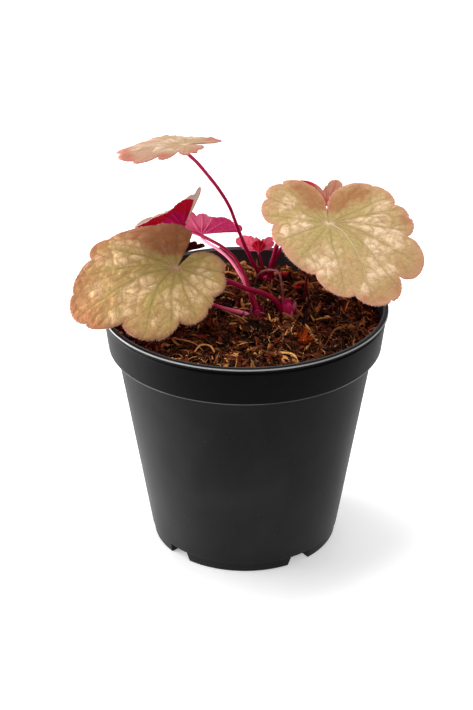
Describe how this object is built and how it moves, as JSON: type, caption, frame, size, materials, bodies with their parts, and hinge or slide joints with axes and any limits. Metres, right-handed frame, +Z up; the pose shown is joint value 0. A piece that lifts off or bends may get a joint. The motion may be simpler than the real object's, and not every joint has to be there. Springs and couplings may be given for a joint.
{
  "type": "potted heuchera plant",
  "caption": "Young heuchera with round scalloped leaves on magenta stalks, in soil in a tapered dark plastic nursery pot with a deep rim band and drainage notches.",
  "frame": {"origin": "middle of the pot's underside, on the surface that it stands on", "axes": "+Z up along the pot's axis, -Y towards the front of the plant, +X to its right"},
  "size_m": [0.1459, 0.12, 0.1761],
  "materials": {
    "pot_plastic": "satin",
    "compost": "matte",
    "stalk": "satin",
    "blade_olive": "satin",
    "blade_rose": "satin",
    "blade_red": "satin",
    "blade_pink": "satin",
    "blade_maroon": "satin",
    "dead_stalk": "matte",
    "dead_leaf": "matte"
  },
  "bodies": {
    "root": {"pot": "pot_plastic", "soil": "compost", "crown_left": "stalk", "crown_right": "stalk", "crown_rear": "stalk", "petiole_left": "stalk", "petiole_right": "stalk", "petiole_top": "stalk", "petiole_folded": "stalk", "petiole_pink": "stalk", "petiole_small": "stalk", "petiole_behind": "stalk", "petiole_rear": "stalk", "petiole_young": "stalk", "leaf_left": "blade_olive", "leaf_right": "blade_olive", "leaf_top": "blade_rose", "leaf_folded": "blade_red", "leaf_pink": "blade_pink", "leaf_small": "blade_red", "leaf_behind": "blade_red", "leaf_rear": "blade_maroon", "leaf_young": "blade_pink", "withered_stem": "dead_stalk", "dry_leaf_right": "dead_leaf", "dry_leaf_front": "dead_leaf", "dry_leaf_left": "dead_leaf"}
  },
  "joints": []
}
